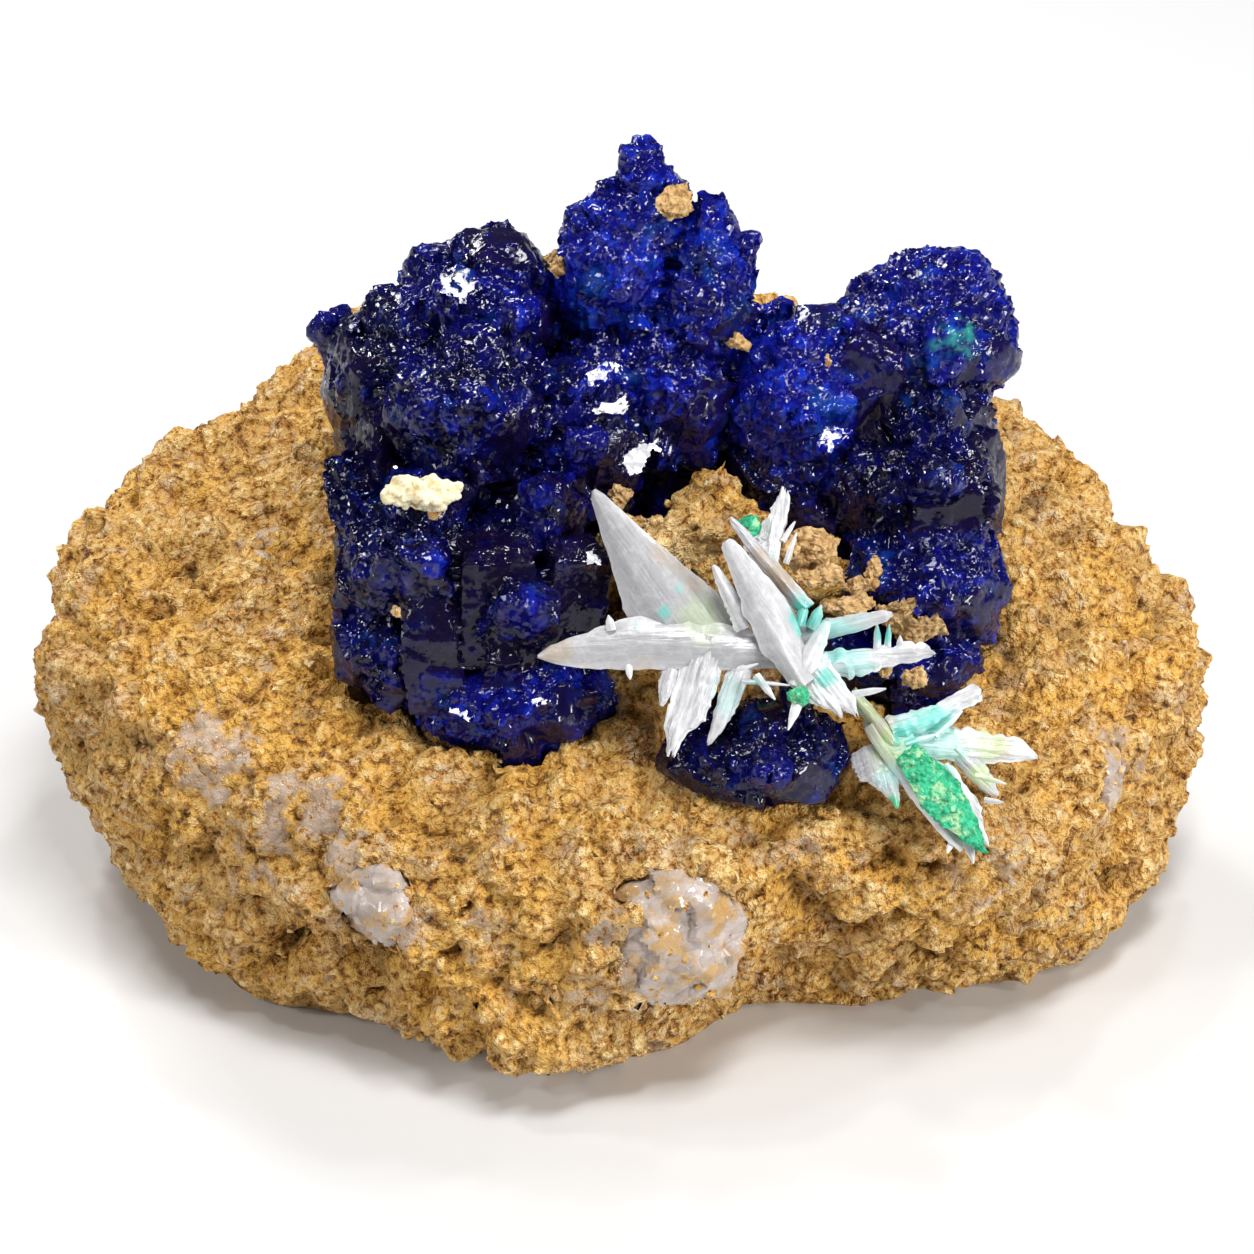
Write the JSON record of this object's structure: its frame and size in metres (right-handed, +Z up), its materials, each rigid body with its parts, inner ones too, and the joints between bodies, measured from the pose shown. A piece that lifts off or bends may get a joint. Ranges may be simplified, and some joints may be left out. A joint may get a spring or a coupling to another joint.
{
  "type": "mineral specimen",
  "caption": "Deep blue azurite rosettes on sandy brown matrix rock, with fans of white cerussite blades in front and green malachite on one of them.",
  "frame": {"origin": "on the base plane, under the middle of the specimen's bounding box", "axes": "+Z up, +X along the longest side, to the right of the display side; +Y to the back, so the display side faces -Y"},
  "size_m": [0.0812, 0.058, 0.0558],
  "materials": {
    "matrix_sand": "rough, crumbly, iron-stained sand",
    "quartz": "milky, glassy where it is broken",
    "azurite": "glassy crystal faces, deep blue",
    "cerussite": "translucent white blades with a silky sheen",
    "malachite": "granular, satin",
    "cream_crust": "chalky and crumbly",
    "tan_crust": "crumbly sand"
  },
  "bodies": {
    "root": {"matrix_rock": "matrix_sand", "quartz_front": "quartz", "quartz_left": "quartz", "quartz_right": "quartz", "azurite_cluster": "azurite", "azurite_front_rosette": "azurite", "cerussite_spray": "cerussite", "cerussite_side_spray": "cerussite", "malachite_crust": "malachite", "malachite_bead_top": "malachite", "malachite_bead_low": "malachite", "cream_crust": "cream_crust", "tan_crust_top": "tan_crust", "tan_crust_right": "tan_crust"}
  },
  "joints": []
}
